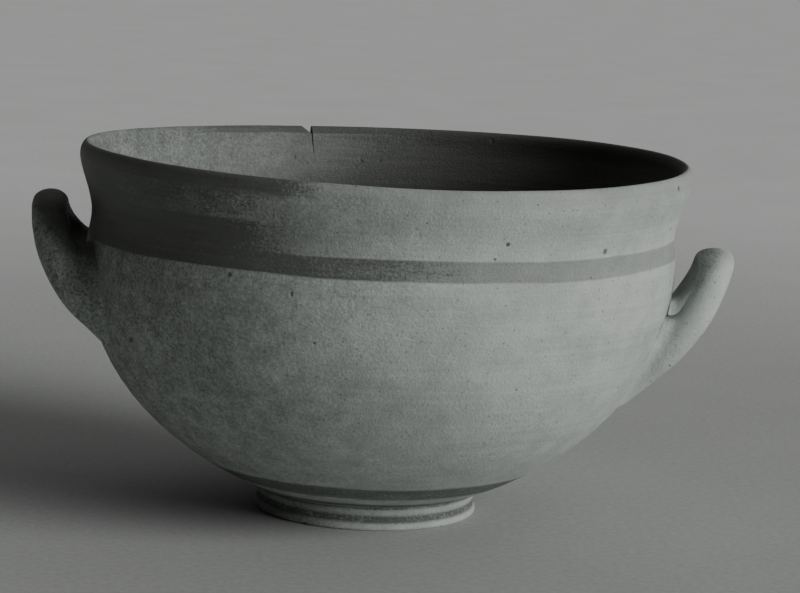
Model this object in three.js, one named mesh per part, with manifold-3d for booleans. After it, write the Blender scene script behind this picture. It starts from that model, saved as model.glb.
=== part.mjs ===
// A two-handled bowl in painted earthenware, in millimetres, standing on z = 0.
// The pot is thrown with a rolled lip, a slack neck and a full belly, and stands on a turned ring foot.
// A coil handle is luted to each side with two flared roots and canted up beside the shoulder.

import * as THREE from "three";
import { mergeVertices } from "three/addons/utils/BufferGeometryUtils.js";
import Module from "manifold-3d";

const wasm = await Module();
wasm.setup();

// Outside of the pot, heights measured from the standing surface
const HEIGHT = 157;
const LIP_RADIUS = 132.6;
const LIP_THICKNESS = 6;
const LIP_DROP = 5.5;
const NECK_RADIUS = 126.3;
const NECK_HEIGHT = 127;
const SHOULDER_RADIUS = 127.9;
const SHOULDER_HEIGHT = 110;
const BASE_RADIUS = 50;
const BASE_HEIGHT = 10.5;
const BASE_SLOPE = 23;
const BASE_ROUNDING = 4;
const UNDERSIDE_HEIGHT = 8;
const BELLY_FULLNESS = 0.47;
const BASE_FULLNESS = 0.64;

// Inside of the pot
const WALL = 6.5;
const FLOOR_THICKNESS = 6;
const INNER_FULLNESS = 0.55;
const FLOOR_FULLNESS = 0.62;

// A small chip out of the lip at the back, steep on one side
const CHIP_AZIMUTH = 106.6;
const CHIP_WIDTH = 5.6;
const CHIP_DEPTH = 3.8;
const CHIP_STEEP_WIDTH = 0.4;

// Throwing and drying left the rim waved and the whole pot leaning towards +X
const RIM_WAVE = 1.2;
const RIM_WAVE_AZIMUTH = 22;
const LEAN = 0.0225;

// Ring foot
const FOOT_RADIUS = 48.7;
const FOOT_WAIST = 47.3;
const FOOT_WAIST_HEIGHT = 5.5;
const FOOT_EDGE_ROUNDING = 1.2;
const FOOT_WIDTH = 8.5;
const FOOT_TAPER = 2.5;

// Left handle, on the -X side; its roots stand on the wall and its apex beside the shoulder
const LEFT_AZIMUTH = 184;
const LEFT_COIL_RADIUS = 8.1;
const LEFT_ROOT_HEIGHT = 96;
const LEFT_OTHER_ROOT_LIFT = -6.3;
const LEFT_ROOT_SPREAD = 66;
const LEFT_REACH = 16.3;
const LEFT_APEX_HEIGHT = 130;
const LEFT_TOP_WIDTH = 1;
const LEFT_ROOT_PULL = 40;
const LEFT_OTHER_ROOT_PULL = 27;

// Right handle, on the +X side, set lower and rolled thinner than the left
const RIGHT_AZIMUTH = -2.5;
const RIGHT_COIL_RADIUS = 6.9;
const RIGHT_ROOT_HEIGHT = 74;
const RIGHT_OTHER_ROOT_LIFT = -1;
const RIGHT_ROOT_SPREAD = 50;
const RIGHT_REACH = 17.2;
const RIGHT_APEX_HEIGHT = 117.8;
const RIGHT_TOP_WIDTH = 1.24;
const RIGHT_ROOT_PULL = 32;
const RIGHT_OTHER_ROOT_PULL = 32;

// Shared by both handles
const COIL_RISE = 40;
const APEX_PULL = 22;
const ROOT_FLARE = 1.2;
const ROOT_FLARE_LENGTH = 18;
const ROOT_SINK = 20;

// The top of a coil was pressed flatter by the palm, along this much of it to either side
const TOP_PRESS = 0.67;
const TOP_PRESS_LENGTH = 24;

// Wet clay worked into the narrow corner between a coil and the wall, where they are this close
const LUTING_GAP = 3.2;
const LUTING_BLEND = 4.5;
const LUTING_SINK = 3;

// Clearance between pieces that touch, and the fineness of the surfaces
const JOINT_GAP = 0.3;
const TURN_STEPS = 72;
const COIL_SIDES = 16;
const COIL_STEPS = 60;

const EARTHENWARE = { color: 0xa39c8b, roughness: 0.85, metalness: 0 };
const DARK_EARTHENWARE = { color: 0x4a433c, roughness: 0.8, metalness: 0 };

const degrees = THREE.MathUtils.degToRad;

function material(look, name) {
  const result = new THREE.MeshStandardMaterial(look);
  result.name = name;
  return result;
}

// Points along a curve, without its first one, so that stretches can follow each other
function stretch(curve, steps) {
  return curve.getPoints(steps).slice(1);
}

// A cubic between two points of a profile, given the lengths and angles of its two handles
function profileCurve(start, startPull, startAngle, end, endPull, endAngle) {
  const first = new THREE.Vector2(Math.cos(startAngle), Math.sin(startAngle)).multiplyScalar(startPull).add(start);
  const second = new THREE.Vector2(Math.cos(endAngle), Math.sin(endAngle)).multiplyScalar(endPull).add(end);
  return new THREE.CubicBezierCurve(start, first, second, end);
}

const UP = Math.PI / 2;
const DOWN = -Math.PI / 2;

const basePoint = new THREE.Vector2(BASE_RADIUS, BASE_HEIGHT);
const shoulderPoint = new THREE.Vector2(SHOULDER_RADIUS, SHOULDER_HEIGHT);
const neckPoint = new THREE.Vector2(NECK_RADIUS, NECK_HEIGHT);
const lipPoint = new THREE.Vector2(LIP_RADIUS, HEIGHT - LIP_DROP);

const bellyCurve = profileCurve(
  basePoint,
  BASE_FULLNESS * (SHOULDER_RADIUS - BASE_RADIUS),
  degrees(BASE_SLOPE),
  shoulderPoint,
  BELLY_FULLNESS * (SHOULDER_HEIGHT - BASE_HEIGHT),
  DOWN,
);

// Outside of the pot from the axis under the base to the widest part of the lip
function outerProfile() {
  const slope = Math.tan(degrees(BASE_SLOPE));
  const corner = new THREE.Vector2(BASE_RADIUS - BASE_ROUNDING, BASE_HEIGHT - BASE_ROUNDING * slope);
  const edge = new THREE.Vector2(BASE_RADIUS - 2 * BASE_ROUNDING, corner.y);
  const neckRise = NECK_HEIGHT - SHOULDER_HEIGHT;
  const lipRise = lipPoint.y - NECK_HEIGHT;
  return [
    new THREE.Vector2(0, UNDERSIDE_HEIGHT),
    edge,
    ...stretch(new THREE.QuadraticBezierCurve(edge, corner, basePoint), 3),
    ...stretch(bellyCurve, 12),
    ...stretch(profileCurve(shoulderPoint, neckRise / 2, UP, neckPoint, neckRise / 3, DOWN), 4),
    ...stretch(profileCurve(neckPoint, lipRise / 3, UP, lipPoint, lipRise / 4, DOWN), 6),
  ];
}

// Inside of the pot from the lip's inner edge down to the axis
function innerProfile() {
  const lip = new THREE.Vector2(LIP_RADIUS - LIP_THICKNESS, lipPoint.y);
  const neck = new THREE.Vector2(NECK_RADIUS - WALL, NECK_HEIGHT);
  const shoulder = new THREE.Vector2(SHOULDER_RADIUS - WALL, SHOULDER_HEIGHT);
  const floor = new THREE.Vector2(0, UNDERSIDE_HEIGHT + FLOOR_THICKNESS);
  const lipRise = lip.y - neck.y;
  const neckRise = neck.y - shoulder.y;
  const floorPull = FLOOR_FULLNESS * shoulder.x;
  return [
    ...stretch(profileCurve(lip, lipRise / 4, DOWN, neck, lipRise / 3, UP), 5),
    ...stretch(profileCurve(neck, neckRise / 3, DOWN, shoulder, neckRise / 2, UP), 3),
    ...stretch(profileCurve(shoulder, INNER_FULLNESS * (shoulder.y - floor.y), DOWN, floor, floorPull, 0), 12),
  ];
}

// Half an ellipse over the top of the lip, from its outside to its inside
function lipArc() {
  const middle = LIP_RADIUS - LIP_THICKNESS / 2;
  const arc = new THREE.EllipseCurve(middle, lipPoint.y, LIP_THICKNESS / 2, LIP_DROP, 0, Math.PI);
  return stretch(arc, 8);
}

// The profile moved outward by a clearance, kept off the far side of the axis
function offsetProfile(points, distance) {
  return points.map((point, i) => {
    const before = points[Math.max(i - 1, 0)];
    const after = points[Math.min(i + 1, points.length - 1)];
    const along = after.clone().sub(before).normalize();
    const moved = new THREE.Vector2(point.x + along.y * distance, point.y - along.x * distance);
    return new THREE.Vector2(i === 0 ? 0 : moved.x, moved.y);
  });
}

// A profile turned about Z, listed so that its outside runs upward
function turned(points) {
  return new THREE.LatheGeometry(points, TURN_STEPS).rotateX(Math.PI / 2);
}

// A solid for joining and cutting, from a closed mesh with its shared corners merged
function toSolid(geometry) {
  const bare = geometry.clone();
  bare.deleteAttribute("normal");
  bare.deleteAttribute("uv");
  const merged = mergeVertices(bare);
  const corners = merged.index.array;
  const faces = [];
  for (let i = 0; i < corners.length; i += 3) {
    const [a, b, c] = [corners[i], corners[i + 1], corners[i + 2]];
    if (a !== b && b !== c && c !== a) faces.push(a, b, c);
  }
  const mesh = new wasm.Mesh({
    numProp: 3,
    vertProperties: new Float32Array(merged.attributes.position.array),
    triVerts: new Uint32Array(faces),
  });
  return new wasm.Manifold(mesh);
}

function toGeometry(solid) {
  const mesh = solid.getMesh();
  const geometry = new THREE.BufferGeometry();
  geometry.setAttribute("position", new THREE.BufferAttribute(mesh.vertProperties, 3));
  geometry.setIndex(new THREE.BufferAttribute(mesh.triVerts, 1));
  return geometry;
}

// The pot's outside as one full solid, grown by the clearance that touching pieces keep
const envelope = toSolid(
  turned([...offsetProfile(outerProfile(), JOINT_GAP), new THREE.Vector2(0, lipPoint.y + JOINT_GAP)]),
);

// Each height above the shoulder rises and falls twice round the rim, most at the lip
function waveRim(geometry) {
  const position = geometry.attributes.position;
  for (let i = 0; i < position.count; i += 1) {
    const azimuth = Math.atan2(position.getY(i), position.getX(i));
    const share = THREE.MathUtils.smoothstep(position.getZ(i), SHOULDER_HEIGHT, HEIGHT);
    position.setZ(i, position.getZ(i) + share * rimRise(azimuth));
  }
  return geometry;
}

function leaned(geometry) {
  return geometry.applyMatrix4(new THREE.Matrix4().makeShear(0, 0, 0, 0, LEAN, 0));
}

// Rise of the waved rim above its mean height at an azimuth in radians
function rimRise(azimuth) {
  return RIM_WAVE * Math.cos(2 * (azimuth - degrees(RIM_WAVE_AZIMUTH)));
}

// A wedge that runs radially through the lip, its edge down
function chipSolid() {
  const outline = new THREE.Shape([
    new THREE.Vector2(0, -CHIP_DEPTH),
    new THREE.Vector2(2 * CHIP_STEEP_WIDTH, CHIP_DEPTH),
    new THREE.Vector2(-2 * CHIP_WIDTH, CHIP_DEPTH),
  ]);
  const length = 4 * LIP_THICKNESS;
  const wedge = new THREE.ExtrudeGeometry(outline, { depth: length, bevelEnabled: false });
  wedge.rotateX(Math.PI / 2);
  wedge.translate(0, LIP_RADIUS + length / 2, HEIGHT);
  wedge.rotateZ(degrees(CHIP_AZIMUTH - 90));
  return toSolid(wedge);
}

function bowlGeometry() {
  const pot = toSolid(turned([...outerProfile(), ...lipArc(), ...innerProfile()]));
  return leaned(waveRim(toGeometry(pot.subtract(chipSolid()))));
}

// Ring foot: a rounded standing edge, a waist outside, and a slanted inner wall up to the underside
function footGeometry() {
  const top = BASE_HEIGHT + JOINT_GAP;
  const inner = FOOT_RADIUS - FOOT_WIDTH;
  const rounding = FOOT_EDGE_ROUNDING;
  const edge = new THREE.EllipseCurve(FOOT_RADIUS - rounding, rounding, rounding, rounding, -Math.PI / 2, 0);
  const side = new THREE.QuadraticBezierCurve(
    new THREE.Vector2(FOOT_RADIUS, rounding),
    new THREE.Vector2(2 * FOOT_WAIST - FOOT_RADIUS, FOOT_WAIST_HEIGHT),
    new THREE.Vector2(FOOT_RADIUS, top),
  );
  const outside = [...edge.getPoints(3), ...stretch(side, 5)];
  const inside = [new THREE.Vector2(inner - FOOT_TAPER, top), new THREE.Vector2(inner, rounding / 2)];
  const bottom = new THREE.Vector2(inner + rounding / 2, 0);
  const ring = toSolid(turned([...outside, ...inside, bottom, outside[0]]));
  return leaned(toGeometry(ring.subtract(envelope)));
}

const bellyPoints = bellyCurve.getPoints(200);

// Radius of the belly's outside at a height below the shoulder
function bellyRadiusAt(height) {
  const above = bellyPoints.findIndex((point) => point.y >= height);
  return above < 0 ? SHOULDER_RADIUS : bellyPoints[above].x;
}

// Centre line of a handle: in through one root, up over the apex and down to the other root
function handlePath(handle) {
  const wallRadius = bellyRadiusAt(handle.rootHeight);
  const halfAngle = Math.asin(handle.rootSpread / 2 / wallRadius);
  const rise = degrees(COIL_RISE);
  const rootAt = (side, height) => new THREE.Vector3(
    wallRadius * Math.cos(halfAngle),
    side * wallRadius * Math.sin(halfAngle),
    height,
  );
  const outwardAt = (side) => new THREE.Vector3(
    Math.cos(halfAngle) * Math.cos(rise),
    side * Math.sin(halfAngle) * Math.cos(rise),
    Math.sin(rise),
  );
  const root = rootAt(-1, handle.rootHeight);
  const otherRoot = rootAt(1, handle.rootHeight + handle.otherRootLift);
  const buried = root.clone().addScaledVector(outwardAt(-1), -ROOT_SINK);
  const otherBuried = otherRoot.clone().addScaledVector(outwardAt(1), -ROOT_SINK);
  const rising = root.clone().addScaledVector(outwardAt(-1), handle.rootPull);
  const otherRising = otherRoot.clone().addScaledVector(outwardAt(1), handle.otherRootPull);
  const apex = new THREE.Vector3(SHOULDER_RADIUS + handle.reach, 0, handle.apexHeight);
  const level = apex.clone().setY(-APEX_PULL);
  const otherLevel = apex.clone().setY(APEX_PULL);
  const path = new THREE.CurvePath();
  path.add(new THREE.LineCurve3(buried, root));
  path.add(new THREE.CubicBezierCurve3(root, rising, level, apex));
  path.add(new THREE.CubicBezierCurve3(apex, otherLevel, otherRising, otherRoot));
  path.add(new THREE.LineCurve3(otherRoot, otherBuried));
  return path;
}

// Moves a point of the coil's skin as the palm did, flatter above the apex's middle and wider
function pressTop(point, handle) {
  const apexRadius = SHOULDER_RADIUS + handle.reach;
  const beside = 1 - THREE.MathUtils.smoothstep(Math.abs(point.y), TOP_PRESS_LENGTH / 3, TOP_PRESS_LENGTH);
  const above = THREE.MathUtils.smoothstep(point.z, handle.apexHeight - 1.6 * handle.coilRadius, handle.apexHeight);
  const share = beside * above;
  const rise = point.z - handle.apexHeight;
  point.x = apexRadius + (point.x - apexRadius) * (1 + (handle.topWidth - 1) * share);
  if (rise > 0) point.z = handle.apexHeight + rise * (1 + (TOP_PRESS - 1) * share);
}

// Draws the skin that faces the wall at a narrow corner into the wall, as clay fills it
function luteCorner(point, outwardFromCoil) {
  const across = Math.hypot(point.x, point.y);
  const clear = across - bellyRadiusAt(point.z);
  const facing = -(outwardFromCoil.x * point.x + outwardFromCoil.y * point.y) / across;
  const close = 1 - THREE.MathUtils.smoothstep(clear, LUTING_GAP, LUTING_GAP + LUTING_BLEND);
  const drawn = Math.max(clear + LUTING_SINK, 0) * close * THREE.MathUtils.smoothstep(facing, 0, 0.6);
  point.x *= (across - drawn) / across;
  point.y *= (across - drawn) / across;
}

// The coil is thickest where it meets the wall, a sink's length from either end of its path
function coilRadiusAt(handle, distance, length) {
  const fromWall = Math.abs(Math.min(distance, length - distance) - ROOT_SINK);
  return handle.coilRadius + ROOT_FLARE * (1 - THREE.MathUtils.smoothstep(fromWall, 0, ROOT_FLARE_LENGTH));
}

// A closed tube of round sections of varying radius along a path
function coilGeometry(handle) {
  const path = handlePath(handle);
  const length = path.getLength();
  const frames = path.computeFrenetFrames(COIL_STEPS);
  const corners = [];
  for (let step = 0; step <= COIL_STEPS; step += 1) {
    const along = step / COIL_STEPS;
    const centre = path.getPointAt(along);
    const radius = coilRadiusAt(handle, along * length, length);
    for (let side = 0; side < COIL_SIDES; side += 1) {
      const turn = (2 * Math.PI * side) / COIL_SIDES;
      const outward = frames.normals[step].clone().multiplyScalar(Math.cos(turn));
      outward.addScaledVector(frames.binormals[step], Math.sin(turn));
      const corner = centre.clone().addScaledVector(outward, radius);
      pressTop(corner, handle);
      luteCorner(corner, outward);
      corners.push(...corner.toArray());
    }
  }
  const faces = [];
  for (let step = 0; step < COIL_STEPS; step += 1) {
    for (let side = 0; side < COIL_SIDES; side += 1) {
      const next = (side + 1) % COIL_SIDES;
      const [a, b] = [step * COIL_SIDES + side, step * COIL_SIDES + next];
      const [c, d] = [a + COIL_SIDES, b + COIL_SIDES];
      faces.push(a, b, d, a, d, c);
    }
  }
  const last = COIL_STEPS * COIL_SIDES;
  for (let side = 1; side < COIL_SIDES - 1; side += 1) {
    faces.push(0, side + 1, side, last, last + side, last + side + 1);
  }
  const geometry = new THREE.BufferGeometry();
  geometry.setAttribute("position", new THREE.Float32BufferAttribute(corners, 3));
  geometry.setIndex(faces);
  return geometry;
}

function handleGeometry(handle) {
  const coil = coilGeometry(handle).rotateZ(degrees(handle.azimuth));
  return leaned(toGeometry(toSolid(coil).subtract(envelope)));
}

const leftHandle = {
  azimuth: LEFT_AZIMUTH,
  coilRadius: LEFT_COIL_RADIUS,
  rootHeight: LEFT_ROOT_HEIGHT,
  otherRootLift: LEFT_OTHER_ROOT_LIFT,
  rootSpread: LEFT_ROOT_SPREAD,
  reach: LEFT_REACH,
  apexHeight: LEFT_APEX_HEIGHT,
  topWidth: LEFT_TOP_WIDTH,
  rootPull: LEFT_ROOT_PULL,
  otherRootPull: LEFT_OTHER_ROOT_PULL,
};

const rightHandle = {
  azimuth: RIGHT_AZIMUTH,
  coilRadius: RIGHT_COIL_RADIUS,
  rootHeight: RIGHT_ROOT_HEIGHT,
  otherRootLift: RIGHT_OTHER_ROOT_LIFT,
  rootSpread: RIGHT_ROOT_SPREAD,
  reach: RIGHT_REACH,
  apexHeight: RIGHT_APEX_HEIGHT,
  topWidth: RIGHT_TOP_WIDTH,
  rootPull: RIGHT_ROOT_PULL,
  otherRootPull: RIGHT_OTHER_ROOT_PULL,
};

const vessel = new THREE.Group();

function addPiece(name, geometry, look) {
  const piece = new THREE.Mesh(geometry, material(look, name));
  piece.name = name;
  vessel.add(piece);
}

addPiece("bowl", bowlGeometry(), EARTHENWARE);
addPiece("foot_ring", footGeometry(), EARTHENWARE);
addPiece("left_handle", handleGeometry(leftHandle), DARK_EARTHENWARE);
addPiece("right_handle", handleGeometry(rightHandle), DARK_EARTHENWARE);

// The origin is the middle of the vessel's whole length on the surface that it stands on
const bounds = new THREE.Box3().setFromObject(vessel);
const middle = bounds.getCenter(new THREE.Vector3());
vessel.position.set(-middle.x, -middle.y, 0);

const part = new THREE.Group();
part.add(vessel);

export default part;
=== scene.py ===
import bisect
import math

import bpy
from mathutils import Matrix, Vector


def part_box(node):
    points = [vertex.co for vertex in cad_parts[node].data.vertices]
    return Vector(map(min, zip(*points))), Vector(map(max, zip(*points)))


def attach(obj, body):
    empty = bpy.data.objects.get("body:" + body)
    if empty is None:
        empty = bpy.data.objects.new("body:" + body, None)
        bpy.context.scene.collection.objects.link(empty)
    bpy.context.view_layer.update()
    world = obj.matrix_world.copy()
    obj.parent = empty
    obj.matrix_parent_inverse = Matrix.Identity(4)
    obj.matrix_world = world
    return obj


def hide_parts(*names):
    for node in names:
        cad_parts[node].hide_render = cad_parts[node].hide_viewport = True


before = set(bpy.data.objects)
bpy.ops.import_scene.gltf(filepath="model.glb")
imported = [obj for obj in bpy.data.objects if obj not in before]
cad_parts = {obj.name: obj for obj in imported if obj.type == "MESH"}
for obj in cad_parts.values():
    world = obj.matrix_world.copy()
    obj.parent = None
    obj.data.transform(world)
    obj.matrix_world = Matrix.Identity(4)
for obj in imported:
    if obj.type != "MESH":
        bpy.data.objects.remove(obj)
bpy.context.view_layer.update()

MM = 0.001
bpy.ops.object.select_all(action="DESELECT")

# Camera
# It stands a little above the rim and looks slightly down, a long lens about four and a half
# bowl widths away, as the photographer's did.
foot_low, foot_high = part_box("foot_ring")
axis_x = (foot_low[0] + foot_high[0]) / 2
camera_data = bpy.data.cameras.new("camera")
camera_data.sensor_width = 36
camera_data.lens = 121.9
camera_data.clip_end = 60
camera = bpy.data.objects.new("camera", camera_data)
bpy.context.collection.objects.link(camera)
camera_place = Matrix.Translation((axis_x, -1.170, 0.2717))
camera_turn = Matrix.Rotation(-0.0099, 4, "Z")
camera_pitch = Matrix.Rotation(math.pi / 2 - 0.1508, 4, "X")
camera_roll = Matrix.Rotation(0.0463, 4, "Z")
camera.matrix_world = camera_place @ camera_turn @ camera_pitch @ camera_roll
bpy.context.scene.camera = camera


# Floor and light
# A plain pale board fills the view. Soft light comes from a low window at the front right, a
# broad lamp fills a little from the front, and the room is brightest to the right and behind.
def node(tree, kind, place, **settings):
    made = tree.nodes.new(kind)
    made.location = place
    for name, value in settings.items():
        setattr(made, name, value)
    return made


def plain_material(name, colour, roughness):
    made = bpy.data.materials.new(name)
    made.use_nodes = True
    tree = made.node_tree
    shader = tree.nodes["Principled BSDF"]
    point = node(tree, "ShaderNodeTexCoord", (-900, 0))
    cloud = node(tree, "ShaderNodeTexNoise", (-700, 0))
    cloud.inputs["Scale"].default_value = 9
    cloud.inputs["Detail"].default_value = 6
    tone = node(tree, "ShaderNodeMix", (-400, 0), data_type="RGBA")
    tone.inputs["A"].default_value = (*[0.62 * part for part in colour], 1)
    tone.inputs["B"].default_value = (*[1.36 * part for part in colour], 1)
    tree.links.new(point.outputs["Object"], cloud.inputs["Vector"])
    weave = node(tree, "ShaderNodeTexNoise", (-700, 600))
    weave.inputs["Scale"].default_value = 330
    weave.inputs["Detail"].default_value = 4
    weave.inputs["Roughness"].default_value = 0.7
    tree.links.new(point.outputs["Object"], weave.inputs["Vector"])
    grainy = node(tree, "ShaderNodeMix", (-550, 300))
    grainy.inputs["Factor"].default_value = 0.8
    tree.links.new(cloud.outputs["Fac"], grainy.inputs["A"])
    tree.links.new(weave.outputs["Fac"], grainy.inputs["B"])
    tree.links.new(grainy.outputs["Result"], tone.inputs["Factor"])
    distance = node(tree, "ShaderNodeVectorMath", (-700, -300), operation="LENGTH")
    tree.links.new(point.outputs["Object"], distance.inputs[0])
    away = node(tree, "ShaderNodeMapRange", (-500, -300), interpolation_type="SMOOTHSTEP")
    away.inputs["From Min"].default_value = 0.25
    away.inputs["From Max"].default_value = 1.3
    away.inputs["To Min"].default_value = 1.0
    away.inputs["To Max"].default_value = 1.68
    tree.links.new(distance.outputs["Value"], away.inputs["Value"])
    brighter = node(tree, "ShaderNodeVectorMath", (-150, 0), operation="SCALE")
    tree.links.new(tone.outputs["Result"], brighter.inputs[0])
    tree.links.new(away.outputs["Result"], brighter.inputs["Scale"])
    seen = node(tree, "ShaderNodeLightPath", (-500, 300)).outputs["Is Camera Ray"]
    bounce = node(tree, "ShaderNodeMapRange", (-150, 300))
    bounce.inputs["To Min"].default_value = 2.0
    tree.links.new(seen, bounce.inputs["Value"])
    board = node(tree, "ShaderNodeVectorMath", (50, 0), operation="SCALE")
    tree.links.new(brighter.outputs["Vector"], board.inputs[0])
    tree.links.new(bounce.outputs["Result"], board.inputs["Scale"])
    tree.links.new(board.outputs["Vector"], shader.inputs["Base Color"])
    shader.inputs["Roughness"].default_value = roughness
    return made


bpy.ops.mesh.primitive_plane_add(size=24, location=(0, 0, 0))
floor = bpy.context.object
floor.name = "floor"
floor.data.materials.append(plain_material("pale board", (0.312, 0.32, 0.311), 0.9))


def area_lamp(name, azimuth, elevation, distance, size, power):
    lamp_data = bpy.data.lights.new(name, "AREA")
    lamp_data.size = size
    lamp_data.energy = power
    lamp = bpy.data.objects.new(name, lamp_data)
    bpy.context.collection.objects.link(lamp)
    level = distance * math.cos(math.radians(elevation))
    aim = Vector((axis_x, 0, 0.08))
    lamp.location = aim + Vector((
        level * math.cos(math.radians(azimuth)),
        level * math.sin(math.radians(azimuth)),
        distance * math.sin(math.radians(elevation)),
    ))
    lamp.rotation_euler = (aim - lamp.location).to_track_quat("-Z", "Y").to_euler()
    return lamp


sun_data = bpy.data.lights.new("window", "SUN")
sun_data.energy = 3.35
sun_data.angle = math.radians(35)
sun = bpy.data.objects.new("window", sun_data)
bpy.context.collection.objects.link(sun)
sun_side = Matrix.Rotation(math.radians(-30), 4, "Z")
sun_height = Matrix.Rotation(math.radians(90 - 22), 4, "Y")
sun.matrix_world = sun_side @ sun_height
soft_fill = area_lamp("soft_fill", -42, 2, 3.0, 1.4, 6)
soft_fill.visible_camera = False
world = bpy.data.worlds.new("room")
world.use_nodes = True
sky = world.node_tree.nodes["Background"]
sky.inputs["Color"].default_value = (0.79, 0.8, 0.79, 1)
sky_direction = node(world.node_tree, "ShaderNodeTexCoord", (-900, 0))
sky_slope = node(world.node_tree, "ShaderNodeVectorMath", (-600, 0), operation="DOT_PRODUCT")
sky_slope.inputs[1].default_value = (0.5, 0.6, 0.5)
sky_height = node(world.node_tree, "ShaderNodeMapRange", (-300, 0))
sky_height.inputs["From Min"].default_value = -0.1
sky_height.inputs["To Min"].default_value = 0.02
sky_height.inputs["To Max"].default_value = 0.57
world.node_tree.links.new(sky_direction.outputs["Generated"], sky_slope.inputs[0])
world.node_tree.links.new(sky_slope.outputs["Value"], sky_height.inputs["Value"])
world.node_tree.links.new(sky_height.outputs["Result"], sky.inputs["Strength"])
bpy.context.scene.world = world

# Bowl
# The body is one piece of pale gritty clay, thrown on a wheel and fired without a glaze. It is
# deep, its wall turns in to a neck and out to a rounded lip, and it leans a little.
BASE_RADIUS = 50
BASE_HEIGHT = 10.5
BASE_CORNER = 8.8
UNDERSIDE = 8
SHOULDER_RADIUS = 127.9
SHOULDER_HEIGHT = 110
NECK_RADIUS = 126.3
NECK_HEIGHT = 127
LIP_RADIUS = 132.6
LIP_HEIGHT = 151.5
LIP_THICKNESS = 6
CREST_HEIGHT = 157
WALL = 6.5
FLOOR_HEIGHT = 14
RIM_WAVE = 1.15
RIM_WAVE_AZIMUTH = 22
LEAN = 0.0225


def drawn_profile(name, corners, fineness):
    """Draws half of a round piece beside the wheel's axis. Each corner gives its radius and height,
    then where the curve comes in from and where it goes out to, all in millimetres."""
    bpy.ops.curve.primitive_bezier_curve_add(location=(0, 0, 0))
    profile = bpy.context.object
    profile.name = name
    profile.data.resolution_u = fineness
    spline = profile.data.splines[0]
    spline.bezier_points.add(len(corners) - 2)
    for point, corner in zip(spline.bezier_points, corners):
        point.handle_left_type = "FREE"
        point.handle_right_type = "FREE"
        point.co = (corner[0] * MM, 0, corner[1] * MM)
        point.handle_left = (corner[2] * MM, 0, corner[3] * MM)
        point.handle_right = (corner[4] * MM, 0, corner[5] * MM)
    bpy.ops.object.convert(target="MESH")
    return bpy.context.object


def apply_modifier(piece, modifier):
    bpy.ops.object.select_all(action="DESELECT")
    piece.select_set(True)
    bpy.context.view_layer.objects.active = piece
    bpy.ops.object.modifier_apply(modifier=modifier.name)


def turn_on_wheel(piece, steps):
    wheel = piece.modifiers.new("wheel", "SCREW")
    wheel.angle = 2 * math.pi
    wheel.steps = steps
    wheel.render_steps = steps
    wheel.use_merge_vertices = True
    wheel.merge_threshold = 0.01 * MM
    apply_modifier(piece, wheel)
    bpy.ops.object.mode_set(mode="EDIT")
    bpy.ops.mesh.select_all(action="SELECT")
    bpy.ops.mesh.remove_doubles(threshold=0.01 * MM)
    bpy.ops.mesh.normals_make_consistent(inside=False)
    bpy.ops.object.mode_set(mode="OBJECT")


def outside_corners(inset):
    """The outside of the pot from under the base to the lip, moved inward by a distance."""
    return [
        (0, UNDERSIDE + inset, 0, UNDERSIDE + inset, 14, UNDERSIDE + inset),
        (42, BASE_CORNER + inset, 28, BASE_CORNER + inset, 44.7, BASE_CORNER + inset),
        (BASE_RADIUS - inset / 2, BASE_HEIGHT + inset, 47.3, 9.4 + inset, 95.7, 29.9 + inset),
        (SHOULDER_RADIUS - inset, SHOULDER_HEIGHT, SHOULDER_RADIUS - inset, 63.2,
         SHOULDER_RADIUS - inset, 118.5),
        (NECK_RADIUS - inset, NECK_HEIGHT, NECK_RADIUS - inset, 121.3, NECK_RADIUS - inset, 135.2),
        (LIP_RADIUS - inset, LIP_HEIGHT, LIP_RADIUS - inset, 145.4, LIP_RADIUS - inset, 154.5),
    ]


crest_radius = LIP_RADIUS - LIP_THICKNESS / 2
inner_lip = LIP_RADIUS - LIP_THICKNESS
inner_neck = NECK_RADIUS - WALL
inner_shoulder = SHOULDER_RADIUS - WALL
bowl_corners = outside_corners(0) + [
    (crest_radius, CREST_HEIGHT, crest_radius + 1.66, CREST_HEIGHT, crest_radius - 1.66, CREST_HEIGHT),
    (inner_lip, LIP_HEIGHT, inner_lip, 154.5, inner_lip, 145.4),
    (inner_neck, NECK_HEIGHT, inner_neck, 135.2, inner_neck, 121.3),
    (inner_shoulder, SHOULDER_HEIGHT, inner_shoulder, 118.5, inner_shoulder, 57.2),
    (0, FLOOR_HEIGHT, 75, FLOOR_HEIGHT, 0, FLOOR_HEIGHT),
]
bowl = drawn_profile("bowl_body", bowl_corners, 16)
turn_on_wheel(bowl, 300)

# The wall is a few tenths of a millimetre uneven, always inward, from the thrower's fingers
uneven = bpy.data.textures.new("finger unevenness", "CLOUDS")
uneven.noise_scale = 0.055
uneven.noise_depth = 1


def press_dents(piece):
    dents = piece.modifiers.new("dents", "DISPLACE")
    dents.texture = uneven
    dents.texture_coords = "LOCAL"
    dents.direction = "NORMAL"
    dents.strength = 0.45 * MM
    dents.mid_level = 1
    apply_modifier(piece, dents)


press_dents(bowl)


def smooth_share(value, low, high):
    share = min(max((value - low) / (high - low), 0), 1)
    return share * share * (3 - 2 * share)


# The rim rises and falls twice round, because the wet pot was lifted off the wheel
for vertex in bowl.data.vertices:
    azimuth = math.atan2(vertex.co.y, vertex.co.x) - math.radians(RIM_WAVE_AZIMUTH)
    share = smooth_share(vertex.co.z, SHOULDER_HEIGHT * MM, CREST_HEIGHT * MM)
    vertex.co.z += RIM_WAVE * MM * share * math.cos(2 * azimuth)

# A wedge is broken out of the back of the rim, steep on one side, and a crack runs down from it
CHIP_AZIMUTH = 106.6
CHIP_DEPTH = 3.8
CHIP_WIDTH = 5.6
CRACK_LENGTH = 13.5
chip_height = CREST_HEIGHT + RIM_WAVE * math.cos(2 * math.radians(CHIP_AZIMUTH - RIM_WAVE_AZIMUTH))


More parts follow.
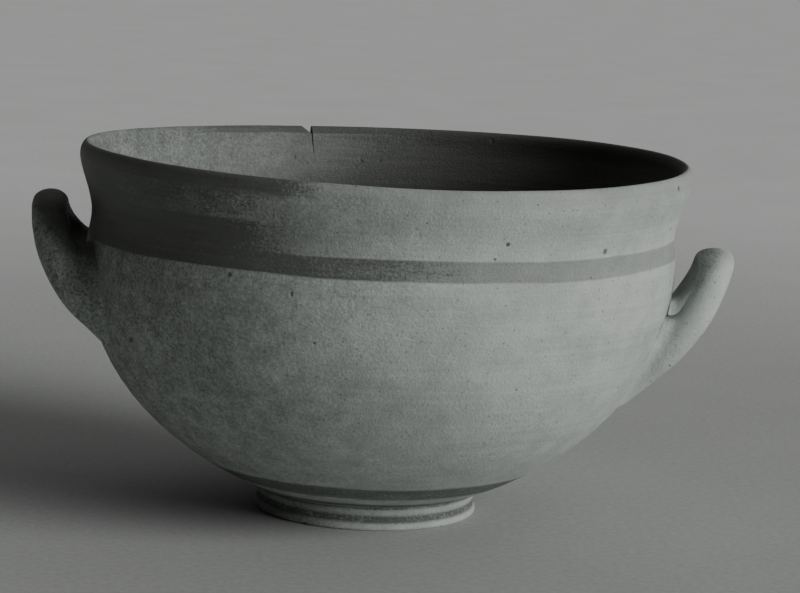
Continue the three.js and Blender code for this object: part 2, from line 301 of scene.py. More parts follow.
def placed_on_rim(cutter):
    cutter.data.transform(Matrix.Translation((0, crest_radius * MM, chip_height * MM)))
    cutter.data.transform(Matrix.Rotation(math.radians(CHIP_AZIMUTH - 90), 4, "Z"))


def cut_away(piece, cutter):
    cut = piece.modifiers.new("cut", "BOOLEAN")
    cut.object = cutter
    cut.operation = "DIFFERENCE"
    cut.solver = "MANIFOLD"
    apply_modifier(piece, cut)
    bpy.data.objects.remove(cutter)


bpy.ops.mesh.primitive_cylinder_add(vertices=3, radius=1, depth=1)
wedge = bpy.context.object
wedge.data.transform(Matrix.Rotation(math.pi / 2, 4, "X"))
wedge_x = [vertex.co.x for vertex in wedge.data.vertices]
wedge_z = [vertex.co.z for vertex in wedge.data.vertices]
flat_side = max(set(round(z, 4) for z in wedge_z), key=lambda z: sum(abs(v - z) < 0.001 for v in wedge_z))
for vertex in wedge.data.vertices:
    on_flat = abs(vertex.co.z - flat_side) < 0.001
    if not on_flat:
        target = (-CHIP_WIDTH, CHIP_DEPTH * 0.1)
    elif vertex.co.x > 0:
        target = (0, -CHIP_DEPTH)
    else:
        target = (0.4, 2 * CHIP_DEPTH)
    vertex.co = (target[0] * MM, vertex.co.y * 30 * MM, target[1] * MM)
bpy.ops.object.mode_set(mode="EDIT")
bpy.ops.mesh.select_all(action="SELECT")
bpy.ops.mesh.normals_make_consistent(inside=False)
bpy.ops.object.mode_set(mode="OBJECT")
placed_on_rim(wedge)
cut_away(bowl, wedge)

bpy.ops.mesh.primitive_cube_add(size=1)
crack = bpy.context.object
for vertex in crack.data.vertices:
    at_top = vertex.co.z > 0
    width = 0.9 if at_top else 0.12
    vertex.co.x = (width * vertex.co.x + (-0.3 if at_top else 1.2)) * MM
    vertex.co.y = vertex.co.y * 30 * MM
    vertex.co.z = (0 if at_top else -CRACK_LENGTH) * MM
placed_on_rim(crack)
cut_away(bowl, crack)

# The whole pot leans toward its right side, and its foot stands off the middle of its box
lean = Matrix(((1, 0, LEAN, axis_x), (0, 1, 0, 0), (0, 0, 1, 0), (0, 0, 0, 1)))
bowl.data.transform(lean)


# Each point of the skin is marked as outside or inside by the way it faces, for the painter
bowl.data.attributes.new("outside", "FLOAT", "POINT")
outside_share = bowl.data.attributes["outside"].data
for vertex, mark in zip(bowl.data.vertices, outside_share):
    across = vertex.co.x - axis_x - LEAN * vertex.co.z
    reach = max(math.hypot(across, vertex.co.y), 0.1 * MM)
    outward = (vertex.normal.x * across + vertex.normal.y * vertex.co.y) / reach
    below_lip = 1 - smooth_share(vertex.co.z, 146 * MM, 152 * MM)
    mark.value = smooth_share(outward - below_lip * vertex.normal.z, -0.25, 0.25)


def finish_shading(piece, angle):
    bpy.ops.object.select_all(action="DESELECT")
    piece.select_set(True)
    bpy.context.view_layer.objects.active = piece
    bpy.ops.object.shade_smooth_by_angle(angle=math.radians(angle))


finish_shading(bowl, 40)


def new_group(name, inputs, outputs):
    """An empty node group. Inputs give a name, a socket kind and a value; outputs a name and a kind."""
    group = bpy.data.node_groups.new(name, "ShaderNodeTree")
    for socket_name, kind, value in inputs:
        socket = group.interface.new_socket(socket_name, in_out="INPUT", socket_type=kind)
        if value is not None:
            socket.default_value = value
    for socket_name, kind in outputs:
        group.interface.new_socket(socket_name, in_out="OUTPUT", socket_type=kind)
    return group


def stretched_noise(tree, vector, stretch, scale, detail, roughness, place):
    """Noise read through a Mapping node, so that a wheel mark can run level round the pot."""
    mapping = node(tree, "ShaderNodeMapping", (place[0] - 200, place[1]))
    mapping.inputs["Scale"].default_value = stretch
    noise = node(tree, "ShaderNodeTexNoise", place)
    noise.inputs["Scale"].default_value = scale
    noise.inputs["Detail"].default_value = detail
    noise.inputs["Roughness"].default_value = roughness
    tree.links.new(vector, mapping.inputs["Vector"])
    tree.links.new(mapping.outputs["Vector"], noise.inputs["Vector"])
    return noise.outputs["Fac"]


def ranged(tree, value, low, high, place, to_low=0.0, to_high=1.0):
    """A smooth step of a value, from one level to another."""
    step = node(tree, "ShaderNodeMapRange", place, interpolation_type="SMOOTHSTEP")
    step.inputs["From Min"].default_value = low
    step.inputs["From Max"].default_value = high
    step.inputs["To Min"].default_value = to_low
    step.inputs["To Max"].default_value = to_high
    tree.links.new(value, step.inputs["Value"])
    return step.outputs["Result"]


def maths(tree, operation, first, second, place):
    sum_node = node(tree, "ShaderNodeMath", place, operation=operation)
    for socket, value in zip(sum_node.inputs, (first, second)):
        if isinstance(value, (int, float)):
            socket.default_value = value
        else:
            tree.links.new(value, socket)
    return sum_node.outputs["Value"]


def blended(tree, share, first, second, place):
    mix = node(tree, "ShaderNodeMix", place, data_type="RGBA")
    tree.links.new(share, mix.inputs["Factor"])
    for socket, value in ((mix.inputs["A"], first), (mix.inputs["B"], second)):
        if isinstance(value, tuple):
            socket.default_value = value
        else:
            tree.links.new(value, socket)
    return mix.outputs["Result"]


def fired_clay_group():
    """Pale fired clay: cloudy firing, level wheel marks, sandy grain, dark grits, pits of several
    sizes, and dark specks of painted shade where Shade specks is high."""
    group = new_group(
        "fired clay",
        [
            ("Pale", "NodeSocketColor", (0.4, 0.39, 0.36, 1)),
            ("Dull", "NodeSocketColor", (0.27, 0.26, 0.24, 1)),
            ("Wheel marks", "NodeSocketFloat", 1.0),
            ("Shade specks", "NodeSocketFloat", 0.5),
        ],
        [("Colour", "NodeSocketColor"), ("Roughness", "NodeSocketFloat"), ("Height", "NodeSocketFloat")],
    )
    start = node(group, "NodeGroupInput", (-1400, 0))
    end = node(group, "NodeGroupOutput", (1500, 0))
    point = node(group, "ShaderNodeTexCoord", (-1400, -300)).outputs["Object"]
    cloud = stretched_noise(group, point, (1, 1, 1.6), 15, 5, 0.6, (-1000, 600))
    mottle = stretched_noise(group, point, (1, 1, 1), 95, 4, 0.65, (-1000, 300))
    grain = stretched_noise(group, point, (1, 1, 1), 800, 4, 0.75, (-1000, 0))
    marks = stretched_noise(group, point, (9, 9, 520), 1, 4, 0.6, (-1000, -300))
    broad_marks = stretched_noise(group, point, (3, 3, 90), 1, 3, 0.5, (-1000, -600))

    grit_cells = node(group, "ShaderNodeTexVoronoi", (-1000, -900))
    grit_cells.inputs["Scale"].default_value = 520
    group.links.new(point, grit_cells.inputs["Vector"])
    grit_pick = node(group, "ShaderNodeSeparateColor", (-800, -1000))
    group.links.new(grit_cells.outputs["Color"], grit_pick.inputs["Color"])
    grit_shape = ranged(group, grit_cells.outputs["Distance"], 0.14, 0.34, (-600, -900), 1, 0)
    grit_chosen = ranged(group, grit_pick.outputs["Red"], 0.8, 0.95, (-600, -1100))
    grit = maths(group, "MULTIPLY", grit_shape, grit_chosen, (-300, -900))

    pit_cells = node(group, "ShaderNodeTexVoronoi", (-1000, -1300))
    pit_cells.inputs["Scale"].default_value = 170
    group.links.new(point, pit_cells.inputs["Vector"])
    pit_pick = node(group, "ShaderNodeSeparateColor", (-800, -1400))
    group.links.new(pit_cells.outputs["Color"], pit_pick.inputs["Color"])
    pit_size = ranged(group, pit_pick.outputs["Blue"], 0.55, 1.0, (-800, -1250), 0.85, 2.6)
    pit_reach = maths(group, "DIVIDE", pit_cells.outputs["Distance"], pit_size, (-700, -1200))
    pit_shape = ranged(group, pit_reach, 0.05, 0.1, (-600, -1300), 1, 0)
    pit_chosen = ranged(group, pit_pick.outputs["Green"], 0.8, 0.84, (-600, -1500))
    pit = maths(group, "MULTIPLY", pit_shape, pit_chosen, (-300, -1300))

    tone = maths(group, "MULTIPLY", cloud, 0.9, (-600, 600))
    tone = maths(group, "ADD", tone, maths(group, "MULTIPLY", mottle, 0.55, (-600, 400)), (-400, 600))
    marks_amount = maths(group, "MULTIPLY", marks, start.outputs["Wheel marks"], (-600, -300))
    tone = maths(group, "ADD", tone, maths(group, "MULTIPLY", marks_amount, 0.35, (-400, -300)), (-200, 600))
    tone = maths(group, "ADD", tone, maths(group, "MULTIPLY", grain, 0.3, (-400, 100)), (0, 600))
    share = ranged(group, tone, 0.68, 1.42, (200, 600))
    colour = blended(group, share, start.outputs["Pale"], start.outputs["Dull"], (450, 500))
    grit_share = maths(group, "MULTIPLY", grit, 0.5, (450, 250))
    colour = blended(group, grit_share, colour, (0.07, 0.065, 0.06, 1), (700, 500))
    pit_share = maths(group, "MULTIPLY", pit, 0.85, (450, 50))
    colour = blended(group, pit_share, colour, (0.05, 0.047, 0.043, 1), (950, 500))
    # Dark specks of painted shade, as strong as the Shade specks input asks
    specks = stretched_noise(group, point, (1, 1, 1), 760, 5, 0.85, (450, -1200))
    blotch = stretched_noise(group, point, (1, 1, 1), 150, 3, 0.6, (450, -1500))
    shade_specks = maths(group, "ADD", maths(group, "MULTIPLY", specks, 0.75, (650, -1200)),
                   maths(group, "MULTIPLY", blotch, 0.25, (650, -1500)), (850, -1200))
    shade_specks = ranged(group, shade_specks, 0.33, 0.65, (1000, -1200))
    shade_specks = maths(group, "MULTIPLY", shade_specks, start.outputs["Shade specks"], (1150, -1200))
    colour = blended(group, shade_specks, colour, (0.074, 0.081, 0.073, 1), (1200, 500))
    roughness = ranged(group, mottle, 0.3, 0.7, (950, 200), 0.78, 0.94)

    height = maths(group, "MULTIPLY", grain, 0.7, (0, -200))
    height = maths(group, "ADD", height, maths(group, "MULTIPLY", marks_amount, 0.16, (0, -400)), (250, -200))
    height = maths(group, "ADD", height, maths(group, "MULTIPLY", broad_marks, 0.5, (0, -600)), (450, -200))
    height = maths(group, "ADD", height, maths(group, "MULTIPLY", mottle, 0.3, (0, -800)), (650, -200))
    height = maths(group, "SUBTRACT", height, maths(group, "MULTIPLY", pit, 0.45, (0, -1000)), (850, -200))
    group.links.new(colour, end.inputs["Colour"])
    group.links.new(roughness, end.inputs["Roughness"])
    group.links.new(height, end.inputs["Height"])
    return group


def worn_paint_group():
    """Matt dark paint laid on with a brush while the pot turned, rubbed and flaked since.
    It covers the heights between two levels, in millimetres, more thinly where wear is high."""
    group = new_group(
        "worn paint",
        [
            ("Lower edge", "NodeSocketFloat", 100.0),
            ("Upper edge", "NodeSocketFloat", 120.0),
            ("Softness", "NodeSocketFloat", 0.6),
            ("Wobble", "NodeSocketFloat", 1.0),
            ("Wear", "NodeSocketFloat", 0.5),
            ("Stain", "NodeSocketFloat", 0.1),
        ],
        [("Cover", "NodeSocketFloat")],
    )
    start = node(group, "NodeGroupInput", (-1400, 0))
    end = node(group, "NodeGroupOutput", (1300, 0))
    point = node(group, "ShaderNodeTexCoord", (-1400, -300)).outputs["Object"]
    split = node(group, "ShaderNodeSeparateXYZ", (-1200, -300))
    group.links.new(point, split.inputs["Vector"])
    height = maths(group, "MULTIPLY", split.outputs["Z"], 1000, (-1000, -300))
    brush = stretched_noise(group, point, (13, 13, 30), 1, 3, 0.5, (-1000, 300))
    bristle = stretched_noise(group, point, (25, 25, 900), 1, 3, 0.6, (-1000, 0))
    wobble = maths(group, "ADD", brush, maths(group, "MULTIPLY", bristle, 0.35, (-800, 0)), (-700, 200))
    wobble = maths(group, "SUBTRACT", wobble, 0.67, (-550, 200))
    wobble = maths(group, "MULTIPLY", wobble, start.outputs["Wobble"], (-400, 200))
    wobble = maths(group, "MULTIPLY", wobble, 4, (-250, 200))
    level = maths(group, "ADD", height, wobble, (-100, -200))
    above = maths(group, "SUBTRACT", level, start.outputs["Lower edge"], (50, 0))
    below = maths(group, "SUBTRACT", start.outputs["Upper edge"], level, (50, -300))
    above = maths(group, "DIVIDE", above, start.outputs["Softness"], (200, 0))
    below = maths(group, "DIVIDE", below, start.outputs["Softness"], (200, -300))
    above = ranged(group, above, -1, 1, (350, 0))
    below = ranged(group, below, -1, 1, (350, -300))
    band = maths(group, "MULTIPLY", above, below, (550, -100))
    flake = stretched_noise(group, point, (1, 1, 1), 1000, 6, 0.9, (-1000, -700))
    patch = stretched_noise(group, point, (1, 1, 2.2), 60, 5, 0.65, (-1000, -1000))
    rub = maths(group, "ADD", maths(group, "MULTIPLY", flake, 0.7, (-700, -700)),
                maths(group, "MULTIPLY", patch, 0.18, (-700, -1000)), (-500, -800))
    rub = maths(group, "ADD", rub, maths(group, "MULTIPLY", bristle, 0.12, (-500, -600)), (-300, -800))
    loss = maths(group, "SUBTRACT", start.outputs["Wear"], rub, (-100, -800))
    kept = ranged(group, loss, -0.045, 0.045, (200, -800), 1, 0)
    kept = maths(group, "MAXIMUM", kept, start.outputs["Stain"], (400, -800))
    cover = maths(group, "MULTIPLY", band, kept, (800, -200))
    group.links.new(cover, end.inputs["Cover"])
    return group


fired_clay = fired_clay_group()
worn_paint = worn_paint_group()


def paint_band(tree, lower, upper, softness, wobble, wear, stain, place):
    band = node(tree, "ShaderNodeGroup", place, node_tree=worn_paint)
    band.inputs["Lower edge"].default_value = lower
    band.inputs["Upper edge"].default_value = upper
    band.inputs["Softness"].default_value = softness
    band.inputs["Wobble"].default_value = wobble
    for name, value in (("Wear", wear), ("Stain", stain)):
        if isinstance(value, (int, float)):
            band.inputs[name].default_value = value
        else:
            tree.links.new(value, band.inputs[name])
    return band.outputs["Cover"]


def painted_clay(name, pale, dull, wheel_marks, paint_cover):
    """A material of fired clay with dark paint where the function paint_cover says."""
    made = bpy.data.materials.new(name)
    made.use_nodes = True
    tree = made.node_tree
    shader = tree.nodes["Principled BSDF"]
    clay = node(tree, "ShaderNodeGroup", (-700, 300), node_tree=fired_clay)
    clay.inputs["Pale"].default_value = pale
    clay.inputs["Dull"].default_value = dull
    clay.inputs["Wheel marks"].default_value = wheel_marks
    cover = paint_cover(tree)
    point = node(tree, "ShaderNodeTexCoord", (-1300, -500)).outputs["Object"]
    place = node(tree, "ShaderNodeSeparateXYZ", (-1300, 500))
    tree.links.new(point, place.inputs["Vector"])
    # Dark specks of painted shade, full on the pot's left, shaded side and none on its right
    left_side_painted_shade = ranged(tree, place.outputs["X"], -0.13, 0.09, (-1000, 500), 1.0, 0.0)
    tree.links.new(left_side_painted_shade, clay.inputs["Shade specks"])
    thinness = stretched_noise(tree, point, (4, 4, 60), 6, 4, 0.6, (-900, -500))
    paint = blended(tree, thinness, (0.042, 0.045, 0.039, 1), (0.097, 0.102, 0.092, 1), (-650, -400))
    colour = blended(tree, cover, clay.outputs["Colour"], paint, (-350, 200))
    tree.links.new(colour, shader.inputs["Base Color"])
    roughness = node(tree, "ShaderNodeMix", (-350, 0))
    roughness.inputs["B"].default_value = 0.66
    tree.links.new(cover, roughness.inputs["Factor"])
    tree.links.new(clay.outputs["Roughness"], roughness.inputs["A"])
    tree.links.new(roughness.outputs["Result"], shader.inputs["Roughness"])
    lifted = maths(tree, "ADD", clay.outputs["Height"], maths(tree, "MULTIPLY", cover, 0.05, (-500, -200)),
                   (-350, -200))
    bump = node(tree, "ShaderNodeBump", (-150, -200))
    bump.inputs["Strength"].default_value = 0.9
    bump.inputs["Distance"].default_value = 1.0 * MM
    tree.links.new(lifted, bump.inputs["Height"])
    tree.links.new(bump.outputs["Normal"], shader.inputs["Normal"])
    shader.inputs["Specular IOR Level"].default_value = 0.3
    return made


def bowl_paint(tree):
    """Worn bands on the outside, from the lip to the foot, painted shade on the wall inside the
    handle loops, and worn paint inside, darkest under the lip and on the right and darkened
    deeper down by painted shade from the rim."""
    point = node(tree, "ShaderNodeTexCoord", (-3000, 0)).outputs["Object"]
    split = node(tree, "ShaderNodeSeparateXYZ", (-2800, 0))
    tree.links.new(point, split.inputs["Vector"])
    level = maths(tree, "MULTIPLY", split.outputs["Z"], 1000, (-2600, -300))
    axis = maths(tree, "ADD", maths(tree, "MULTIPLY", split.outputs["Z"], LEAN, (-2600, 0)), axis_x,
                 (-2450, 0))
    across = maths(tree, "SUBTRACT", split.outputs["X"], axis, (-2300, 0))
    outside = node(tree, "ShaderNodeAttribute", (-1700, -300), attribute_name="outside").outputs["Fac"]

    drift = stretched_noise(tree, point, (1, 1, 1), 9, 2, 0.5, (-2400, 500))
    side = maths(tree, "ADD", split.outputs["X"], maths(tree, "MULTIPLY", drift, 0.06, (-2200, 500)),
                 (-2000, 500))
    side = maths(tree, "SUBTRACT", side, 0.03, (-1850, 500))
    rim_wear = ranged(tree, side, -0.13, 0.08, (-1700, 600), 0.43, 0.68)
    neck_wear = ranged(tree, side, -0.09, 0.1, (-1700, 300), 0.42, 0.575)
    rim_stain = ranged(tree, side, -0.11, -0.02, (-1700, 900), 0.58, 0.12)
    neck_stain = ranged(tree, side, -0.11, 0.12, (-1700, 1100), 0.8, 0.45)
    gap_wear = ranged(tree, side, -0.08, 0.01, (-1700, 0), 0.37, 0.82)
    gap_stain = ranged(tree, side, -0.09, 0.01, (-1700, 1300), 0.62, 0.0)
    rim = paint_band(tree, 137.3, 200, 0.9, 0.9, rim_wear, rim_stain, (-1400, 400))
    gap = paint_band(tree, 124.5, 139, 0.9, 0.9, gap_wear, gap_stain, (-1400, 200))
    neck = paint_band(tree, 118.7, 127.0, 0.5, 0.7, neck_wear, neck_stain, (-1400, 0))
    above_foot = paint_band(tree, 17, 24, 0.9, 0.6, 0.44, 0.35, (-1400, -200))
    # A dark line at the joint with the foot, part paint and part painted shade in the crease
    joint_line_paint_and_shade = paint_band(tree, 11.0, 13.0, 0.6, 0.4, 0.46, 0.3, (-1400, -400))
    # A soft darkening of the lip's outer edge from 149 mm up, stronger on the left
    lip_wear = ranged(tree, side, -0.06, 0.03, (-1700, 1500), 0.4, 0.8)
    lip_edge_darkness = ranged(tree, side, -0.09, 0.0, (-1700, 1700), 0.48, 0.33)
    lip_edge = paint_band(tree, 149, 200, 3.5, 0.9, lip_wear, lip_edge_darkness, (-1400, 600))
    bands = maths(tree, "MAXIMUM", rim, neck, (-1250, 200))
    bands = maths(tree, "MAXIMUM", bands, lip_edge, (-1200, 300))
    bands = maths(tree, "MAXIMUM", bands, gap, (-1150, 150))
    bands = maths(tree, "MAXIMUM", bands, above_foot, (-1050, 100))
    bands = maths(tree, "MAXIMUM", bands, joint_line_paint_and_shade, (-950, 0))
    # Dark patches on the wall inside each handle loop: painted shade in the recess between coil and wall
    to_left = maths(tree, "MULTIPLY", split.outputs["X"], -1000, (-2600, -500))
    left_loop_painted_shade = maths(tree, "MULTIPLY", ranged(tree, to_left, 114, 127, (-2400, -500), 0.0, 0.9),
                         ranged(tree, level, 88, 104, (-2400, -700)), (-2200, -500))
    right_loop_painted_shade = maths(tree, "MULTIPLY", ranged(tree, to_left, -127.5, -125.5, (-2400, -900), 0.85, 0.0),
                          ranged(tree, level, 84, 90, (-2400, -1100)), (-2200, -900))
    under_neck = ranged(tree, level, 108, 117, (-2400, -1300), 1, 0)
    right_loop_painted_shade = maths(tree, "MULTIPLY", right_loop_painted_shade, under_neck, (-2100, -1000))
    bands = maths(tree, "MAXIMUM", bands, maths(tree, "MAXIMUM", left_loop_painted_shade, right_loop_painted_shade, (-2000, -600)),
                  (-900, 0))
    bands = maths(tree, "MULTIPLY", bands, outside, (-850, 0))
    lip_band_wear = ranged(tree, side, -0.13, -0.05, (-1700, -500), 0.56, 0.42)
    lip_band_stain = ranged(tree, side, -0.13, -0.05, (-1700, -650), 0.3, 0.52)
    lip_band = paint_band(tree, 152.6, 200, 1.1, 1.6, lip_band_wear, lip_band_stain, (-1400, -700))

    # Inside, the pot was dipped from its right, which left a lapped edge, and the left is worn.
    # Deeper below the lip the inside is darkened more, which is painted shade from the rim.
    lowered = maths(tree, "SUBTRACT", 157, level, (-2100, -1100))
    lowered = maths(tree, "MINIMUM", lowered, 45, (-1950, -1100))
    dipped = maths(tree, "MULTIPLY", across, 1000, (-2100, -900))
    dipped = maths(tree, "SUBTRACT", dipped, maths(tree, "MULTIPLY", lowered, 0.31, (-1950, -1000)),
                   (-1800, -900))
    dipped = maths(tree, "ADD", dipped, maths(tree, "MULTIPLY", drift, 9, (-1800, -1100)), (-1700, -900))
    dipped = maths(tree, "SUBTRACT", dipped, 4.5, (-1600, -900))
    lap = ranged(tree, dipped, 46.5, 49.5, (-1450, -800), 0, 1)
    # Painted shade: the deeper below the lip, the darker the inside
    dip_and_depth_shade = maths(tree, "ADD", dipped, maths(tree, "MULTIPLY", lowered, 1.9, (-1750, -1300)), (-1650, -1300))
    dip_and_depth_shade = maths(tree, "SUBTRACT", dip_and_depth_shade, 15, (-1550, -1300))
    wear_with_depth_shade = ranged(tree, dip_and_depth_shade, -75, 48, (-1450, -1100), 0.64, 0.38)
    inside_wear_with_depth_shade = node(tree, "ShaderNodeMix", (-1300, -1000))
    inside_wear_with_depth_shade.inputs["B"].default_value = 0.28
    tree.links.new(lap, inside_wear_with_depth_shade.inputs["Factor"])
    tree.links.new(wear_with_depth_shade, inside_wear_with_depth_shade.inputs["A"])
    stain_with_depth_shade = ranged(tree, dip_and_depth_shade, -115, 50, (-1300, -1300), 0.36, 0.98)
    inner = paint_band(tree, -50, 400, 1.0, 0.0, inside_wear_with_depth_shade.outputs["Result"], stain_with_depth_shade, (-1100, -900))
    inner = maths(tree, "MAXIMUM", inner, lip_band, (-950, -800))
    inner = maths(tree, "MULTIPLY", inner, maths(tree, "SUBTRACT", 1, outside, (-1000, -500)), (-850, -700))
    return maths(tree, "MAXIMUM", bands, inner, (-750, 0))


bowl.data.materials.clear()
bowl.data.materials.append(painted_clay(
    "bowl clay", (0.386, 0.418, 0.393, 1), (0.253, 0.275, 0.258, 1), 1.0, bowl_paint))
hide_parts("bowl")
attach(bowl, "root")

# Foot ring
# A low ring of the same clay, turned on the wheel and stuck under the body with wet clay. Its
# side is hollowed to a groove that still holds dark paint, and its standing edge is rubbed pale.
FOOT_RADIUS = 48.7
FOOT_WAIST = 47.3
FOOT_INNER = 40.2
FOOT_TOP = 11.4
foot_corners = [
    (FOOT_INNER + 0.6, 0, FOOT_INNER + 0.3, 0, FOOT_INNER + 2, 0),
    (FOOT_RADIUS - 1.2, 0, FOOT_RADIUS - 3, 0, FOOT_RADIUS - 0.5, 0),
    (FOOT_RADIUS, 1.3, FOOT_RADIUS, 0.6, FOOT_RADIUS, 2.4),
    (FOOT_WAIST, 5.2, FOOT_WAIST, 4.1, FOOT_WAIST, 6.2),
    (FOOT_RADIUS - 0.5, 8.4, FOOT_RADIUS - 0.6, 7.6, FOOT_RADIUS - 0.4, 9.4),
    (FOOT_RADIUS - 1.2, FOOT_TOP, FOOT_RADIUS - 0.8, FOOT_TOP - 0.6, FOOT_RADIUS - 3, FOOT_TOP),
    (FOOT_INNER - 2.5, FOOT_TOP, FOOT_INNER - 1, FOOT_TOP, FOOT_INNER - 2, FOOT_TOP - 3),
    (FOOT_INNER, 0.6, FOOT_INNER - 0.4, 3, FOOT_INNER + 0.1, 0.2),
    (FOOT_INNER + 0.6, 0, FOOT_INNER + 0.3, 0, FOOT_INNER + 0.6, 0),
]
foot_ring = drawn_profile("foot_ring_body", foot_corners, 10)
turn_on_wheel(foot_ring, 240)


def pot_inside_skin(inset):
    """The body's outside as one full solid, a little smaller, for trimming what is stuck to it."""
    corners = outside_corners(inset)
    corners.append((0, LIP_HEIGHT, 40, LIP_HEIGHT, 0, LIP_HEIGHT))
    corners[-2] = (*corners[-2][:4], 90, LIP_HEIGHT)
    solid = drawn_profile("trimmer", corners, 14)
    turn_on_wheel(solid, 240)
    press_dents(solid)
    return solid


cut_away(foot_ring, pot_inside_skin(0.3))
foot_ring.data.transform(lean)
finish_shading(foot_ring, 40)


def foot_paint(tree):
    """Dark paint left in the groove of the foot, and a dark line along the joint with the body
    that is part paint and part painted shade in the crease.
    """
    groove = paint_band(tree, 3.4, 6.6, 0.9, 0.45, 0.46, 0.3, (-1500, 100))
    joint_paint_and_shade = paint_band(tree, 9.3, 12.0, 0.6, 0.3, 0.47, 0.25, (-1500, -300))
    return maths(tree, "MAXIMUM", groove, joint_paint_and_shade, (-1200, 0))


foot_ring.data.materials.clear()
foot_ring.data.materials.append(painted_clay(
    "foot clay", (0.39, 0.421, 0.396, 1), (0.264, 0.287, 0.269, 1), 0.7, foot_paint))
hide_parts("foot_ring")
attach(foot_ring, "root")

# Handles
# Each is one roll of clay, bent to a loop and stuck on below the neck with wet clay, canted up
# and out. The left one is thicker and sits higher. Their tops were painted, and the paint's
# lower edge is carried down their inner sides and rear limbs as painted shade.
APEX_PULL = 22
ROOT_SINK = 20


def belly_curve(steps):
    """Heights and radii up the body's outside below the shoulder, on the same curve as its profile."""
    corners = ((50, 10.5), (95.7, 29.9), (127.5, 63.2), (127.5, 110))
    for step in range(steps + 1):
        t = step / steps
        shares = ((1 - t) ** 3, 3 * t * (1 - t) ** 2, 3 * t * t * (1 - t), t ** 3)
        radius = sum(share * corner[0] for share, corner in zip(shares, corners))
        height = sum(share * corner[1] for share, corner in zip(shares, corners))
        yield height, radius


belly_places = list(belly_curve(400))


def wall_radius(height):
    place = bisect.bisect(belly_places, (height, 0))
    return belly_places[min(place, len(belly_places) - 1)][1]


def one_skin(piece, voxel):
    skin = piece.modifiers.new("one skin", "REMESH")
    skin.mode = "VOXEL"
    skin.voxel_size = voxel * MM
    apply_modifier(piece, skin)


def swell(piece, distance):
    swelling = piece.modifiers.new("swelling", "DISPLACE")
    swelling.direction = "NORMAL"
    swelling.strength = distance * MM
    swelling.mid_level = 0
    apply_modifier(piece, swelling)


def rub_smooth(piece, times):
    rubbed = piece.modifiers.new("rubbed smooth", "SMOOTH")
    rubbed.factor = 0.5
    rubbed.iterations = times
    apply_modifier(piece, rubbed)


